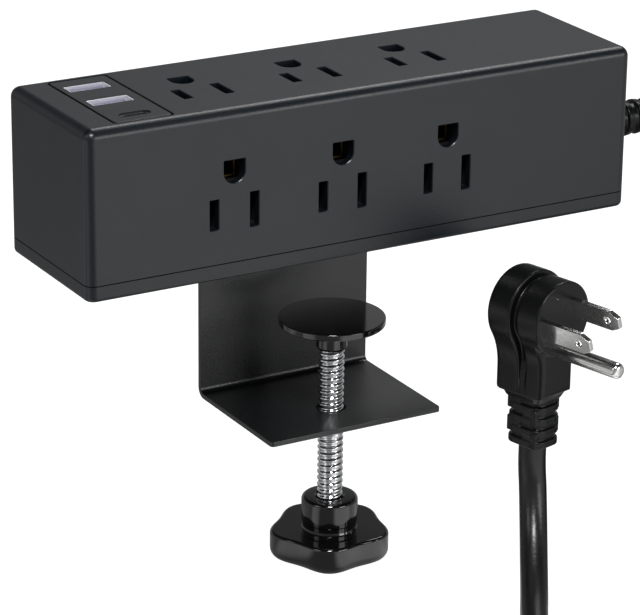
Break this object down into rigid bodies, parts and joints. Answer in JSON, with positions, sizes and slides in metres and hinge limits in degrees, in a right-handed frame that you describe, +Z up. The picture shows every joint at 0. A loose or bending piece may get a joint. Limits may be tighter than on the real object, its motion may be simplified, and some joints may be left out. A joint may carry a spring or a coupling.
{
  "type": "desk power strip",
  "caption": "Desk power strip with outlets on its front and top and a USB panel, on a screw clamp bracket, with its cord coiled and its plug upright.",
  "frame": {"origin": "centre of the underside of the strip and clamp's bounding box, without the cord: the level of the knob's underside", "axes": "+X along the strip away from the USB panel, +Y from the front outlets towards the back face, +Z up"},
  "size_m": [0.3005, 0.1664, 0.1517],
  "materials": {
    "housing_plastic": "satin, finely textured",
    "cover_plastic": "satin, finely textured",
    "panel_plastic": "satin",
    "port_steel": "bright",
    "tongue_blue": "smooth",
    "tongue_black": "smooth",
    "board_green": "smooth",
    "transformer_tape": "smooth",
    "capacitor_black": "glossy",
    "socket_plastic": "matt",
    "contact_brass": "satin",
    "wire_black": "satin",
    "wire_white": "satin",
    "wire_green": "satin",
    "clamp_steel": "satin powder coat",
    "zinc_screw": "satin",
    "chrome_screw": "bright",
    "pad_plastic": "glossy",
    "knob_plastic": "glossy",
    "cord_jacket": "satin",
    "plug_vinyl": "satin",
    "tie_fabric": "woven",
    "blade_nickel": "bright"
  },
  "bodies": {
    "root": {"housing_shell": "housing_plastic", "bottom_cover": "cover_plastic", "usb_faceplate": "panel_plastic", "usb_a_shells": "port_steel", "usb_a_tongues": "tongue_blue", "usb_c_shell": "port_steel", "usb_c_tongue": "tongue_black", "usb_circuit_board": "board_green", "usb_transformer": "transformer_tape", "usb_capacitors": "capacitor_black", "front_socket_block": "socket_plastic", "top_socket_block": "socket_plastic", "front_line_contacts": "contact_brass", "front_neutral_contacts": "contact_brass", "front_ground_contacts": "contact_brass", "top_line_contacts": "contact_brass", "top_neutral_contacts": "contact_brass", "top_ground_contacts": "contact_brass", "line_wire": "wire_black", "neutral_wire": "wire_white", "ground_wire": "wire_green", "cord_inner_end": "cord_jacket", "cord_clamp": "socket_plastic", "cord_clamp_screws": "zinc_screw", "cover_screws": "zinc_screw", "clamp_bracket": "clamp_steel", "bracket_screws": "zinc_screw", "weld_nut": "zinc_screw", "cord_strain_relief": "plug_vinyl", "cord_run": "cord_jacket", "cord_coil": "cord_jacket", "cord_rise": "cord_jacket", "cord_tie": "tie_fabric", "plug_body": "plug_vinyl", "plug_strain_relief": "plug_vinyl", "plug_blades": "blade_nickel", "plug_ground_pin": "blade_nickel"},
    "pad": {"pressure_pad": "pad_plastic", "pad_hub": "pad_plastic"},
    "screw": {"clamp_screw": "chrome_screw", "screw_tip_head": "chrome_screw", "clamp_knob": "knob_plastic"}
  },
  "joints": [
    {"name": "pad_travel", "type": "slide", "parent": "root", "child": "pad", "axis": [0, 0, 1], "range_m": [-0.0176, 0.022]},
    {"name": "screw_turn", "type": "hinge", "parent": "pad", "child": "screw", "pos_m": [0, -0.00475, 0.03], "axis": [0, 0, 1], "range_deg": [-3200, 4000]}
  ],
  "couplings": [
    {"joint": "screw_turn", "follows": "pad_travel", "rad_per_m": 3141.6}
  ]
}
